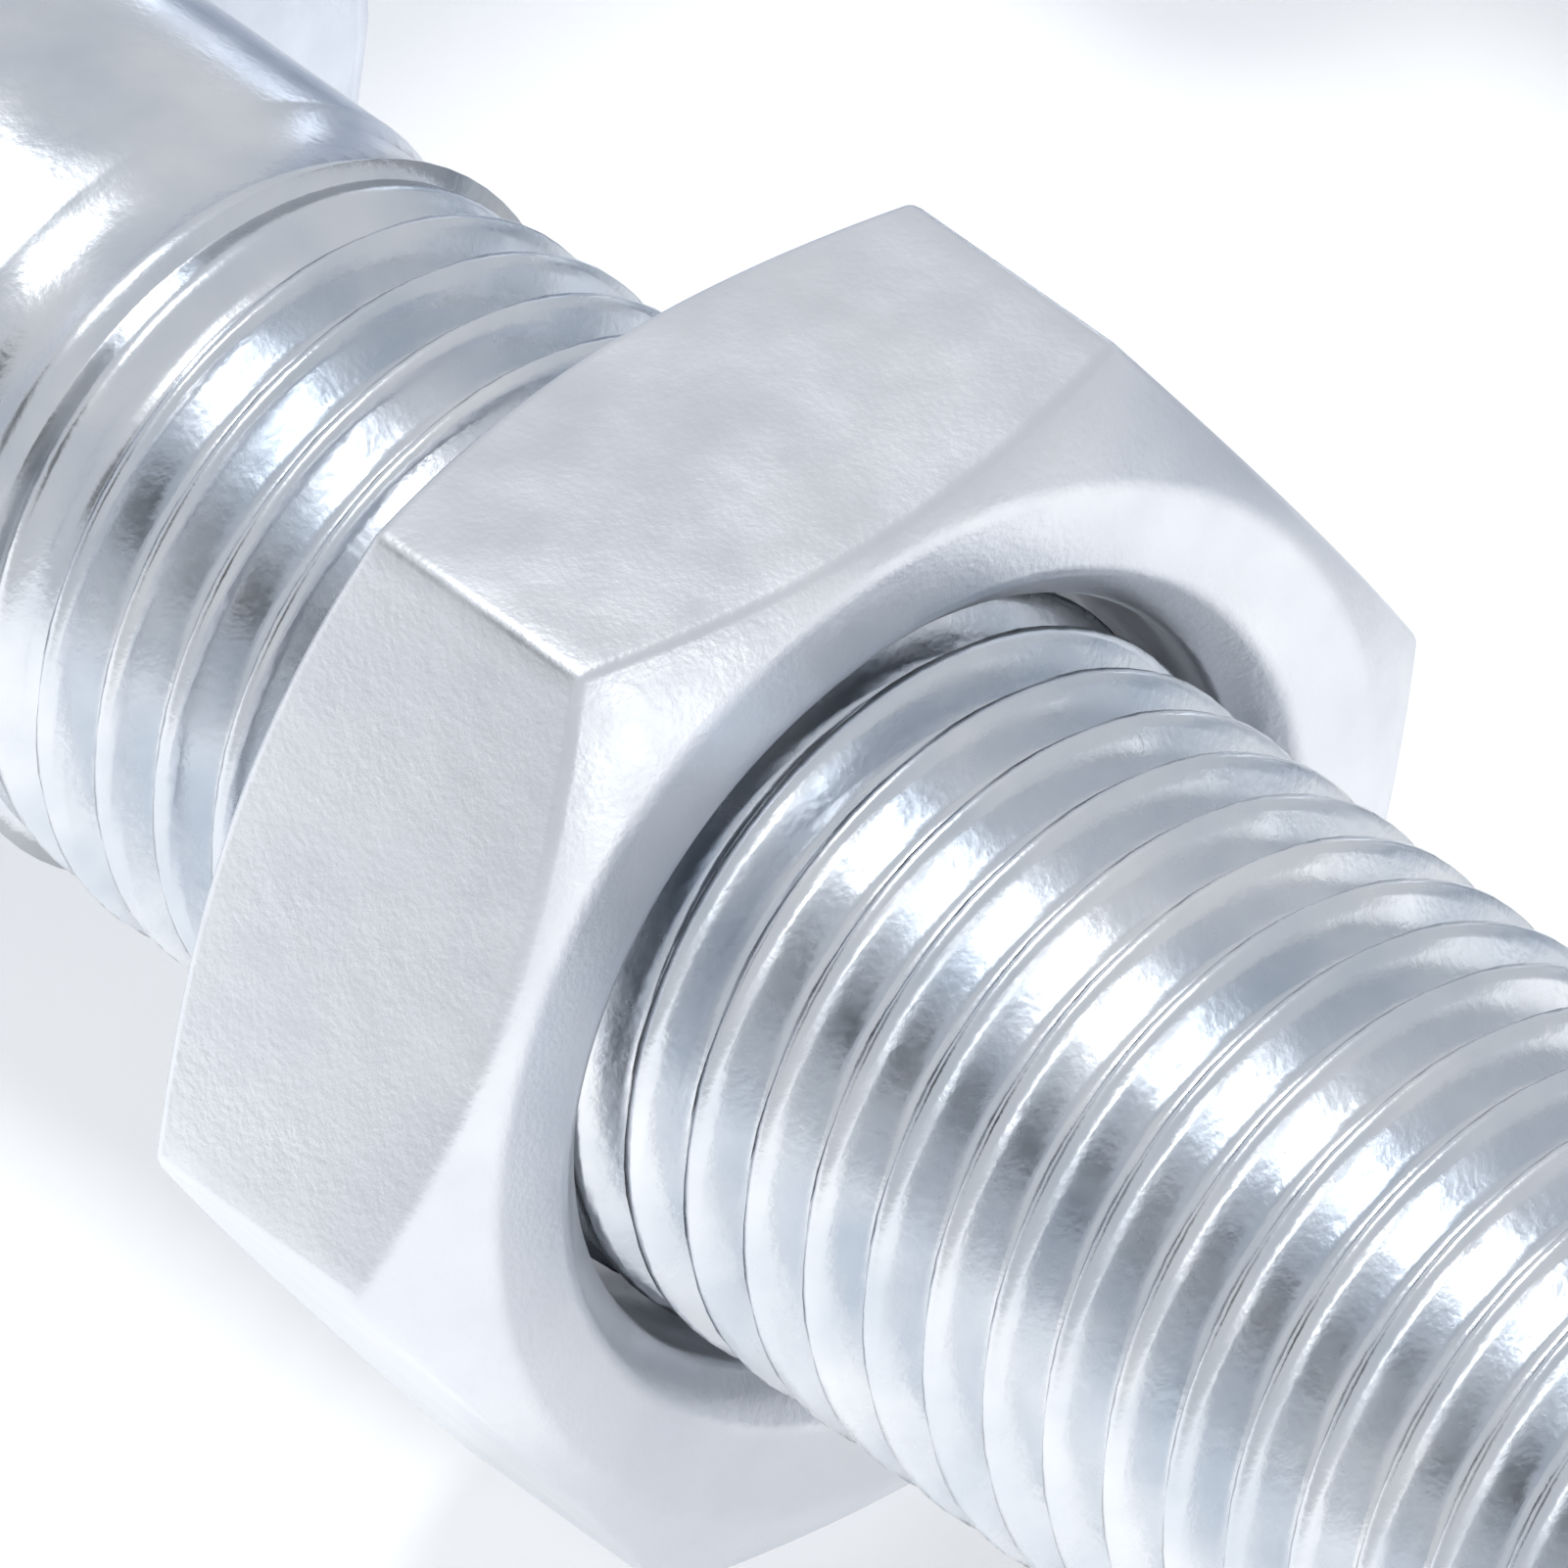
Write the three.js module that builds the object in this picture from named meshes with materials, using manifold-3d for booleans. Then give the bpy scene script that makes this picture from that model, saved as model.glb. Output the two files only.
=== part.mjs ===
// Wire rope clip: a U-bolt, a saddle that slides on its two legs, and two hex nuts.
// Millimetres, +Z up. The clip lies on its side: both legs point along +X.
import * as THREE from 'three';
import { mergeVertices } from 'three/addons/utils/BufferGeometryUtils.js';
import Module from 'manifold-3d';

const wasm = await Module();
wasm.setup();

// Driving dimensions
const THREAD_DIAMETER = 9.525;
const LEG_SPACING = 25.4;
const ROPE_DIAMETER = 12.7;
const NUT_FLATS = 14.29;
const NUT_HEIGHT = 5.3;

// U-bolt
const SHANK_RADIUS = 0.493 * THREAD_DIAMETER;
const BLANK_RADIUS = 0.477 * THREAD_DIAMETER;
const CREST_RADIUS = THREAD_DIAMETER / 2;
const BOW_RADIUS = LEG_SPACING / 2;
const ROUND_SIDES = 32;
const BOW_STEPS = 24;
const STEP_LENGTH = 0.35;
const END_CHAMFER = 1.0;

// Stations along a leg, measured from the nut's outer face, positive towards the free end
const LEG_END = 18;
const THREAD_START = -12.3;
const SHANK_SHOULDER = -14;
const SADDLE_FACE = -19;
const WEB_FACE = SADDLE_FACE - 8;
const SEAT_BOTTOM = WEB_FACE - 4;
const BOW_CENTRE = SEAT_BOTTOM - 1.5 * ROPE_DIAMETER;
const BOW_APEX = BOW_CENTRE - BOW_RADIUS - SHANK_RADIUS;

// Saddle
const LUG_RADIUS = 8.16;
const LUG_THICKNESS = 12;
const LUG_FLATS = 15;
const LUG_EDGE = 1.2;
const LUG_SIDES = 40;
const LEG_HOLE_RADIUS = 5.2;
const SEAT_RADIUS = ROPE_DIAMETER / 2 + 0.15;
const SEAT_LENGTH = 12;
const SEAT_HEIGHT = 8.5;
const SEAT_EDGE = 0.8;

// Nuts
const NUT_BORE_RADIUS = CREST_RADIUS + 0.3;
const NUT_COUNTERSINK = 0.6;
const NUT_CHAMFER_TAN = Math.tan(THREE.MathUtils.degToRad(30));
const NUT_FACE_RADIUS = 0.95 * NUT_FLATS / 2;

// The clip's own frame: midway along its length, midway between the legs, on its lowest side
const MIDDLE = (LEG_END + BOW_APEX) / 2;
const LEG_HEIGHT = LUG_FLATS / 2;

const zinc = (color, roughness) => new THREE.MeshStandardMaterial({ color, roughness, metalness: 0.9 });

const toSolid = (geometry) => {
  const bare = geometry.index ? geometry.clone() : geometry;
  bare.deleteAttribute('normal');
  bare.deleteAttribute('uv');
  const merged = mergeVertices(bare, 1e-4);
  const index = merged.index.array;
  const kept = [];
  for (let i = 0; i < index.length; i += 3) {
    const [a, b, c] = [index[i], index[i + 1], index[i + 2]];
    if (a !== b && b !== c && c !== a) kept.push(a, b, c);
  }
  return new wasm.Manifold(new wasm.Mesh({
    numProp: 3,
    vertProperties: new Float32Array(merged.attributes.position.array),
    triVerts: new Uint32Array(kept),
  }));
};

const toGeometry = (solid) => {
  const mesh = solid.getMesh();
  const geometry = new THREE.BufferGeometry();
  geometry.setAttribute('position', new THREE.BufferAttribute(new Float32Array(mesh.vertProperties), 3));
  geometry.setIndex(new THREE.BufferAttribute(new Uint32Array(mesh.triVerts), 1));
  geometry.computeVertexNormals();
  return geometry;
};

// Turns a [radius, station] outline about the leg direction, X
const turned = (outline, sides) => {
  const points = outline.map(([radius, station]) => new THREE.Vector2(radius, station));
  return new THREE.LatheGeometry(points, sides).rotateZ(-Math.PI / 2);
};

const roundBar = (radius, from, to, sides) =>
  turned([[0, from], [radius, from], [radius, to], [0, to]], sides);

// A straight bar is turned with both thread blanks on it, then bent round the bow
const uBoltGeometry = () => {
  const straight = LEG_END - BOW_CENTRE;
  const arc = Math.PI * BOW_RADIUS;
  const total = 2 * straight + arc;
  const threadEnd = LEG_END - THREAD_START;
  const shoulder = LEG_END - SHANK_SHOULDER;
  const leg = [
    [0, 0],
    [CREST_RADIUS - END_CHAMFER, 0],
    [CREST_RADIUS, END_CHAMFER],
    [CREST_RADIUS, threadEnd],
    [BLANK_RADIUS, threadEnd + STEP_LENGTH],
    [BLANK_RADIUS, shoulder - STEP_LENGTH],
    [SHANK_RADIUS, shoulder],
  ];
  const outline = [...leg];
  for (let i = 0; i <= BOW_STEPS; i += 1) {
    outline.push([SHANK_RADIUS, straight + arc * i / BOW_STEPS]);
  }
  outline.push(...[...leg].reverse().map(([radius, s]) => [radius, total - s]));
  const geometry = new THREE.LatheGeometry(outline.map(([r, s]) => new THREE.Vector2(r, s)), ROUND_SIDES);
  const position = geometry.attributes.position;
  for (let i = 0; i < position.count; i += 1) {
    const side = position.getX(i);
    const s = position.getY(i);
    const height = position.getZ(i);
    const turn = THREE.MathUtils.clamp((s - straight) / BOW_RADIUS, 0, Math.PI);
    const before = Math.min(s, straight);
    const after = Math.max(s - straight - arc, 0);
    const reach = BOW_RADIUS - side;
    const x = LEG_END - before + after - reach * Math.sin(turn);
    const y = -reach * Math.cos(turn);
    position.setXYZ(i, x, y, height);
  }
  return toGeometry(toSolid(geometry));
};

const legSides = [-1, 1];

// Round lugs, flat above and below, joined by a set-back web with the rope groove and two leg holes
const saddleGeometry = () => {
  const back = SADDLE_FACE - LUG_THICKNESS;
  const lugOutline = [[0, back], [LUG_RADIUS - LUG_EDGE, back], [LUG_RADIUS, back + LUG_EDGE]];
  const cornerSteps = 4;
  for (let i = 0; i <= cornerSteps; i += 1) {
    const angle = (Math.PI / 2) * i / cornerSteps;
    lugOutline.push([
      LUG_RADIUS - LUG_EDGE + LUG_EDGE * Math.cos(angle),
      SADDLE_FACE - LUG_EDGE + LUG_EDGE * Math.sin(angle),
    ]);
  }
  lugOutline.push([0, SADDLE_FACE]);

  const block = new THREE.Shape();
  const halfBlock = LEG_SPACING / 2;
  block.moveTo(WEB_FACE - SEAT_HEIGHT, -halfBlock);
  block.lineTo(WEB_FACE, -halfBlock);
  block.lineTo(WEB_FACE, halfBlock);
  block.lineTo(WEB_FACE - SEAT_HEIGHT, halfBlock);
  block.closePath();
  const depth = SEAT_LENGTH - 2 * SEAT_EDGE;
  const bevel = {
    depth, bevelEnabled: true, bevelThickness: SEAT_EDGE, bevelSize: SEAT_EDGE,
    bevelOffset: -SEAT_EDGE, bevelSegments: 1,
  };
  let solid = toSolid(new THREE.ExtrudeGeometry(block, bevel).translate(0, 0, -depth / 2));
  for (const side of legSides) {
    const flats = new THREE.BoxGeometry(3 * LUG_THICKNESS, 3 * LUG_RADIUS, LUG_FLATS)
      .translate(SADDLE_FACE - LUG_THICKNESS / 2, 0, 0);
    const lug = toSolid(turned(lugOutline, LUG_SIDES)).intersect(toSolid(flats));
    solid = solid.add(lug.translate(0, side * LEG_SPACING / 2, 0));
  }
  const groove = new THREE.CylinderGeometry(SEAT_RADIUS, SEAT_RADIUS, 2 * SEAT_LENGTH, LUG_SIDES)
    .rotateX(Math.PI / 2)
    .translate(SEAT_BOTTOM - SEAT_RADIUS, 0, 0);
  solid = solid.subtract(toSolid(groove));
  for (const side of legSides) {
    const hole = roundBar(LEG_HOLE_RADIUS, back - 20, SADDLE_FACE + 5, ROUND_SIDES);
    solid = solid.subtract(toSolid(hole.translate(0, side * LEG_SPACING / 2, 0)));
  }
  return toGeometry(solid);
};

// A hexagon with both ends chamfered, bored, and countersunk at both ends; its outer face is at 0
const nutGeometry = () => {
  const corner = NUT_FLATS / 2 / Math.cos(Math.PI / 6);
  const hexagon = new THREE.CylinderGeometry(corner, corner, NUT_HEIGHT, 6)
    .rotateZ(-Math.PI / 2)
    .rotateX(Math.PI / 6)
    .translate(-NUT_HEIGHT / 2, 0, 0);
  const drop = (corner + 1 - NUT_FACE_RADIUS) * NUT_CHAMFER_TAN;
  const cone = [
    [0, -NUT_HEIGHT],
    [NUT_FACE_RADIUS, -NUT_HEIGHT],
    [corner + 1, -NUT_HEIGHT + drop],
    [corner + 1, -drop],
    [NUT_FACE_RADIUS, 0],
    [0, 0],
  ];
  const mouth = NUT_BORE_RADIUS + NUT_COUNTERSINK;
  const past = 1;
  const bore = [
    [0, -NUT_HEIGHT - past],
    [mouth + past, -NUT_HEIGHT - past],
    [NUT_BORE_RADIUS, -NUT_HEIGHT + NUT_COUNTERSINK],
    [NUT_BORE_RADIUS, -NUT_COUNTERSINK],
    [mouth + past, past],
    [0, past],
  ];
  return toGeometry(toSolid(hexagon)
    .intersect(toSolid(turned(cone, 2 * ROUND_SIDES)))
    .subtract(toSolid(turned(bore, ROUND_SIDES))));
};

const clip = new THREE.Group();
clip.position.set(-MIDDLE, 0, LEG_HEIGHT);

const named = (name, geometry, material) => {
  const mesh = new THREE.Mesh(geometry, material);
  mesh.name = name;
  clip.add(mesh);
  return mesh;
};

named('u_bolt', uBoltGeometry(), zinc(0xc9d0d8, 0.32));
named('saddle', saddleGeometry(), zinc(0xcfd8e6, 0.5));
named('nut_a', nutGeometry(), zinc(0xd3dae6, 0.42)).position.y = -LEG_SPACING / 2;
named('nut_b', nutGeometry(), zinc(0xd3dae6, 0.42)).position.y = LEG_SPACING / 2;

export default clip;
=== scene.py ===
"""Wire rope clip lying on its side: U-bolt with rolled threads, saddle and two hex nuts, zinc plated."""

import math

import bmesh
import bpy
from mathutils import Matrix, Vector


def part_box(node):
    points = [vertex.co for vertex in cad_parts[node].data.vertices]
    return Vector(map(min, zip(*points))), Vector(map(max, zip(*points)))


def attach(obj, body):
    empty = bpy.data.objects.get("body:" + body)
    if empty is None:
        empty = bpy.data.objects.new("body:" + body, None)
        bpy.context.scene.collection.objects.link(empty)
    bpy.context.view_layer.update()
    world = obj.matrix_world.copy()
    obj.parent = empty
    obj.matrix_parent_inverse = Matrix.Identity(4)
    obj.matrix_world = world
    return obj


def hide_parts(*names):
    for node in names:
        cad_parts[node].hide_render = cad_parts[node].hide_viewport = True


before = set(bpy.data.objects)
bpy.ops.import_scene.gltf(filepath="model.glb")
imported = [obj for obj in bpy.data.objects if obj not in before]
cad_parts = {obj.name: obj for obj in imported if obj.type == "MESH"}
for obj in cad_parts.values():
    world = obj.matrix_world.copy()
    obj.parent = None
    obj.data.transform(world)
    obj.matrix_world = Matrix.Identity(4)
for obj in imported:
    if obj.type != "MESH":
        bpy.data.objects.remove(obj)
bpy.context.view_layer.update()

MM = 0.001

# Sizes that follow the frame
BOLT_LOW, BOLT_HIGH = (Vector(corner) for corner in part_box("u_bolt"))
NUT_LOW, NUT_HIGH = (Vector(corner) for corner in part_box("nut_a"))
LEG_END = BOLT_HIGH.x
LEG_HEIGHT = (BOLT_LOW.z + BOLT_HIGH.z) / 2
CREST_RADIUS = (BOLT_HIGH.z - BOLT_LOW.z) / 2
THREAD_DIAMETER = 2 * CREST_RADIUS
LEG_SPACING = BOLT_HIGH.y - BOLT_LOW.y - THREAD_DIAMETER
NUT_FACE = NUT_HIGH.x
NUT_HEIGHT = NUT_HIGH.x - NUT_LOW.x
NUT_FLATS = NUT_HIGH.z - NUT_LOW.z

# The U-bolt's own proportions
SHANK_RADIUS = 0.493 * THREAD_DIAMETER
BLANK_RADIUS = 0.477 * THREAD_DIAMETER
PITCH = 25.4 * MM / 24
THREAD_DEPTH = 0.6134 * PITCH
THREAD_LENGTH = 30.3 * MM
SHOULDER_AT = 32 * MM
END_CHAMFER = 1.0 * MM
RUNOUT = 1.6 * PITCH
HALF_CREST = 0.14
FLANK = 0.66
THREAD_TAPER = 0.4 * MM
SHOULDER_TAPER = 0.35 * MM
SHOULDER_ROUND = 0.08 * MM
SHOULDER_DROP = 0.03 * MM
BOW_RADIUS = LEG_SPACING / 2
BOW_CENTRE = BOLT_LOW.x + BOW_RADIUS + SHANK_RADIUS
BAR_SIDES = 72
STATIONS_PER_PITCH = 16
BOW_STEPS = 64

# The nuts' own proportions
NUT_SIDES = 144
NUT_BORE = CREST_RADIUS + 0.3 * MM
NUT_MOUTH = 0.6 * MM
NUT_FACE_RADIUS = 0.95 * NUT_FLATS / 2
NUT_SLOPE = math.tan(math.radians(30))
NUT_EDGE = 0.13 * MM

# The saddle's softened edges
SADDLE_EDGE = 0.3 * MM

# The camera looks down at the near leg from beyond its free end, rolled a little
VIEW_BACK = Vector((0.600, -0.458, 0.656)).normalized()
VIEW_RIGHT = Vector((0.653, 0.754, -0.071))
LENS = 1500
SENSOR = 36
VIEW_WIDTH = 1.925 * THREAD_DIAMETER
AIM_BEHIND_FACE = 0.386 * THREAD_DIAMETER
AIM_OFFSET = Vector((0, 0.091, 0.0635)) * THREAD_DIAMETER
SUBJECT = Vector((NUT_FACE - AIM_BEHIND_FACE, -LEG_SPACING / 2, LEG_HEIGHT)) + AIM_OFFSET


def add_piece(name, bm, body, node, material):
    """Turns a bmesh into a piece that replaces one node of the frame."""
    mesh = bpy.data.meshes.new(name)
    bm.to_mesh(mesh)
    bm.free()
    mesh.materials.append(material)
    mesh.shade_smooth()
    piece = bpy.data.objects.new(name, mesh)
    bpy.context.scene.collection.objects.link(piece)
    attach(piece, body)
    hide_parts(node)
    return piece


def soften_edges(piece, width, segments=3, angle=25):
    bevel = piece.modifiers.new("soft_edges", "BEVEL")
    bevel.limit_method = "ANGLE"
    bevel.angle_limit = math.radians(angle)
    bevel.width = width
    bevel.segments = segments
    bevel.profile = 0.5


def spin_outline(outline, sides, closed):
    """Spins [radius, station] points about Z into a closed skin."""
    bm = bmesh.new()
    points = [bm.verts.new((radius, 0, station)) for radius, station in outline]
    pairs = list(zip(points, points[1:]))
    if closed:
        pairs.append((points[-1], points[0]))
    edges = [bm.edges.new(pair) for pair in pairs]
    bmesh.ops.spin(bm, geom=points + edges, cent=(0, 0, 0), axis=(0, 0, 1), dvec=(0, 0, 0),
                   angle=2 * math.pi, steps=sides, use_merge=True)
    bmesh.ops.remove_doubles(bm, verts=bm.verts, dist=1e-7)
    return bm


# Zinc plate ----------------------------------------------------------------------------------

def zinc_plate(name, pale, deep, roughness, grain, relief):
    """Plated metal: cloudy tint, fine crystalline grain, and small wandering marks."""
    material = bpy.data.materials.new(name)
    material.use_nodes = True
    tree = material.node_tree
    shader = tree.nodes["Principled BSDF"]
    shader.inputs["Metallic"].default_value = 1.0

    place = tree.nodes.new("ShaderNodeTexCoord")

    def noise(scale, detail):
        node = tree.nodes.new("ShaderNodeTexNoise")
        node.inputs["Scale"].default_value = scale
        node.inputs["Detail"].default_value = detail
        tree.links.new(place.outputs["Object"], node.inputs["Vector"])
        return node

    clouds = noise(420, 5)
    tint = tree.nodes.new("ShaderNodeValToRGB")
    tint.color_ramp.elements[0].position = 0.32
    tint.color_ramp.elements[0].color = (*deep, 1)
    tint.color_ramp.elements[1].position = 0.68
    tint.color_ramp.elements[1].color = (*pale, 1)
    tree.links.new(clouds.outputs["Fac"], tint.inputs["Fac"])
    tree.links.new(tint.outputs["Color"], shader.inputs["Base Color"])

    smears = noise(900, 6)
    gloss = tree.nodes.new("ShaderNodeMapRange")
    gloss.inputs["From Min"].default_value = 0.3
    gloss.inputs["From Max"].default_value = 0.7
    gloss.inputs["To Min"].default_value = roughness - 0.07
    gloss.inputs["To Max"].default_value = roughness + 0.09
    tree.links.new(smears.outputs["Fac"], gloss.inputs["Value"])
    tree.links.new(gloss.outputs["Result"], shader.inputs["Roughness"])

    crystals = noise(grain, 3)
    fine = tree.nodes.new("ShaderNodeBump")
    fine.inputs["Strength"].default_value = relief
    fine.inputs["Distance"].default_value = 0.02 * MM
    tree.links.new(crystals.outputs["Fac"], fine.inputs["Height"])
    marks = noise(1400, 4)
    wide = tree.nodes.new("ShaderNodeBump")
    wide.inputs["Strength"].default_value = relief
    wide.inputs["Distance"].default_value = 0.05 * MM
    tree.links.new(marks.outputs["Fac"], wide.inputs["Height"])
    tree.links.new(fine.outputs["Normal"], wide.inputs["Normal"])
    tree.links.new(wide.outputs["Normal"], shader.inputs["Normal"])
    return material


rolled_zinc = zinc_plate("rolled_zinc", (0.86, 0.88, 0.905), (0.64, 0.69, 0.75), 0.24, 9000, 0.22)
forged_zinc = zinc_plate("forged_zinc", (0.80, 0.84, 0.91), (0.70, 0.74, 0.81), 0.44, 7000, 0.5)
nut_zinc = zinc_plate("nut_zinc", (0.85, 0.87, 0.905), (0.78, 0.805, 0.85), 0.36, 11000, 0.3)


# U-bolt --------------------------------------------------------------------------------------

def leg_outline():
    """Stations from a free end to the start of the bow, close together where the thread is."""
    stations = [(0, 0), (CREST_RADIUS - END_CHAMFER, 0)]
    step = PITCH / STATIONS_PER_PITCH
    count = math.ceil(THREAD_LENGTH / step)
    stations += [(CREST_RADIUS, step * (i + 0.2)) for i in range(count)]
    stations += [(BLANK_RADIUS, THREAD_LENGTH + THREAD_TAPER), (BLANK_RADIUS, SHOULDER_AT - SHOULDER_TAPER)]
    stations += [(SHANK_RADIUS - SHOULDER_DROP, SHOULDER_AT - SHOULDER_ROUND), (SHANK_RADIUS, SHOULDER_AT)]
    return stations


def thread_radius(along, turn, hand):
    """Radius of the rolled thread at a distance from the free end and an angle round the leg."""
    runout = min(max((THREAD_LENGTH - along) / RUNOUT, 0), 1)
    phase = (along / PITCH + hand * turn / (2 * math.pi)) % 1
    fall = min(max((abs(2 * phase - 1) - HALF_CREST) / FLANK, 0), 1)
    crest = BLANK_RADIUS + (CREST_RADIUS - BLANK_RADIUS) * runout
    root = BLANK_RADIUS + (CREST_RADIUS - THREAD_DEPTH - BLANK_RADIUS) * runout
    chamfer = CREST_RADIUS - END_CHAMFER + along
    return min(crest + (root - crest) * fall, chamfer)


def u_bolt():
    straight = LEG_END - BOW_CENTRE
    arc = math.pi * BOW_RADIUS
    total = 2 * straight + arc
    leg = leg_outline()
    bow = [(SHANK_RADIUS, straight + arc * i / BOW_STEPS) for i in range(BOW_STEPS + 1)]
    other_leg = [(radius, total - along) for radius, along in reversed(leg)]
    bm = spin_outline(leg + bow + other_leg, BAR_SIDES, closed=False)
    for vert in bm.verts:
        along = vert.co.z
        from_end = min(along, total - along)
        radius = math.hypot(vert.co.x, vert.co.y)
        turn = math.atan2(vert.co.y, vert.co.x)
        if radius > CREST_RADIUS - END_CHAMFER / 2 and from_end < THREAD_LENGTH:
            hand = 1 if along < total / 2 else -1
            scale = thread_radius(from_end, turn, hand) / radius
            vert.co.x *= scale
            vert.co.y *= scale
        bend = min(max((along - straight) / BOW_RADIUS, 0), math.pi)
        run = LEG_END - min(along, straight) + max(along - straight - arc, 0)
        reach = BOW_RADIUS - vert.co.x
        height = LEG_HEIGHT + vert.co.y
        vert.co = (run - reach * math.sin(bend), -reach * math.cos(bend), height)
    bmesh.ops.recalc_face_normals(bm, faces=bm.faces)
    return add_piece("u_bolt_threaded", bm, "u_bolt", "u_bolt", rolled_zinc)


# Nuts ----------------------------------------------------------------------------------------

def hex_nut(name, node, side):
    """A ring is spun with its outer wall at one radius, then that wall is pressed out to the flats."""
    wall = 2 * NUT_FACE_RADIUS
    outline = [
        (NUT_BORE, -NUT_MOUTH), (NUT_BORE + NUT_MOUTH, 0), (NUT_FACE_RADIUS, 0),
        (wall, -NUT_HEIGHT / 4), (wall, -3 * NUT_HEIGHT / 4),
        (NUT_FACE_RADIUS, -NUT_HEIGHT), (NUT_BORE + NUT_MOUTH, -NUT_HEIGHT),
        (NUT_BORE, -NUT_HEIGHT + NUT_MOUTH),
    ]
    bm = spin_outline(outline, NUT_SIDES, closed=True)
    sixth = math.pi / 3
    for vert in bm.verts:
        radius = math.hypot(vert.co.x, vert.co.y)
        turn = math.atan2(vert.co.y, vert.co.x)
        station = vert.co.z
        if radius > NUT_FACE_RADIUS * 1.5:
            flat = NUT_FLATS / 2 / math.cos(turn % sixth - sixth / 2)
            drop = (flat - NUT_FACE_RADIUS) * NUT_SLOPE
            station = -drop if station > -NUT_HEIGHT / 2 else drop - NUT_HEIGHT
            radius = flat
        vert.co = (NUT_FACE + station, side * LEG_SPACING / 2 + radius * math.cos(turn),
                   LEG_HEIGHT + radius * math.sin(turn))
    bmesh.ops.recalc_face_normals(bm, faces=bm.faces)
    nut = add_piece(name, bm, node, node, nut_zinc)
    soften_edges(nut, NUT_EDGE)
    return nut


# Saddle --------------------------------------------------------------------------------------

def saddle():
    bm = bmesh.new()
    bm.from_mesh(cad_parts["saddle"].data)
    bmesh.ops.remove_doubles(bm, verts=bm.verts, dist=1e-6)
    bmesh.ops.dissolve_limit(bm, angle_limit=math.radians(1), verts=bm.verts, edges=bm.edges)
    piece = add_piece("saddle_forged", bm, "saddle", "saddle", forged_zinc)
    soften_edges(piece, SADDLE_EDGE)
    return piece


u_bolt()
hex_nut("nut_a_hex", "nut_a", -1)
hex_nut("nut_b_hex", "nut_b", 1)
saddle()


# Studio --------------------------------------------------------------------------------------

def floor():
    bm = bmesh.new()
    bmesh.ops.create_grid(bm, x_segments=1, y_segments=1, size=2)
    mesh = bpy.data.meshes.new("floor")
    bm.to_mesh(mesh)
    bm.free()
    sheet = bpy.data.objects.new("floor", mesh)
    material = bpy.data.materials.new("pale_floor")
    material.use_nodes = True
    shader = material.node_tree.nodes["Principled BSDF"]
    shader.inputs["Base Color"].default_value = (0.9, 0.9, 0.9, 1)
    shader.inputs["Roughness"].default_value = 0.9
    shader.inputs["Emission Color"].default_value = (1, 1, 1, 1)
    shader.inputs["Emission Strength"].default_value = 0.36
    mesh.materials.append(material)
    bpy.context.scene.collection.objects.link(sheet)


def area_light(name, towards, distance, size, power, color=(1, 1, 1)):
    """A square soft box, seen from the near nut in the direction `towards`."""
    data = bpy.data.lights.new(name, "AREA")
    data.size = size
    data.energy = power
    data.color = color
    light = bpy.data.objects.new(name, data)
    direction = Vector(towards).normalized()
    light.location = SUBJECT + direction * distance
    light.rotation_euler = direction.to_track_quat("Z", "Y").to_euler()
    bpy.context.scene.collection.objects.link(light)


def dark_card(name, towards, distance, width, height, shade):
    """A grey card whose reflection gives the threads their dark bands."""
    bm = bmesh.new()
    bmesh.ops.create_grid(bm, x_segments=1, y_segments=1, size=0.5)
    direction = Vector(towards).normalized()
    turn = direction.to_track_quat("Z", "Y")
    for vert in bm.verts:
        across = Vector((vert.co.x * width, vert.co.y * height, 0))
        vert.co = SUBJECT + direction * distance + turn @ across
    mesh = bpy.data.meshes.new(name)
    bm.to_mesh(mesh)
    bm.free()
    card = bpy.data.objects.new(name, mesh)
    material = bpy.data.materials.new(name + "_paint")
    material.use_nodes = True
    shader = material.node_tree.nodes["Principled BSDF"]
    shader.inputs["Base Color"].default_value = (shade, shade, shade, 1)
    mesh.materials.append(material)
    bpy.context.scene.collection.objects.link(card)
    card.visible_camera = False
    card.visible_shadow = False


def studio_world():
    world = bpy.data.worlds.new("studio")
    world.use_nodes = True
    back = world.node_tree.nodes["Background"]
    back.inputs["Color"].default_value = (0.93, 0.955, 1.0, 1)
    back.inputs["Strength"].default_value = 0.68
    bpy.context.scene.world = world


def camera():
    data = bpy.data.cameras.new("camera")
    data.lens = LENS
    data.sensor_width = SENSOR
    data.clip_start = 0.01
    data.clip_end = 20
    seat = bpy.data.objects.new("camera", data)
    up = VIEW_BACK.cross(VIEW_RIGHT).normalized()
    right = up.cross(VIEW_BACK)
    basis = Matrix((right, up, VIEW_BACK)).transposed().to_4x4()
    seat.matrix_world = Matrix.Translation(SUBJECT + VIEW_BACK * VIEW_WIDTH * LENS / SENSOR) @ basis
    bpy.context.scene.collection.objects.link(seat)
    bpy.context.scene.camera = seat


camera()
floor()
studio_world()
area_light("overhead", (-0.30, -0.08, 0.95), 0.5, 0.12, 0.75)
area_light("end_on", (0.98, -0.05, 0.22), 0.6, 0.2, 0.22)
dark_card("front_card", (-0.45, -0.66, 0.52), 0.4, 0.24, 0.11, 0.01)
bpy.context.scene.view_settings.view_transform = "Standard"
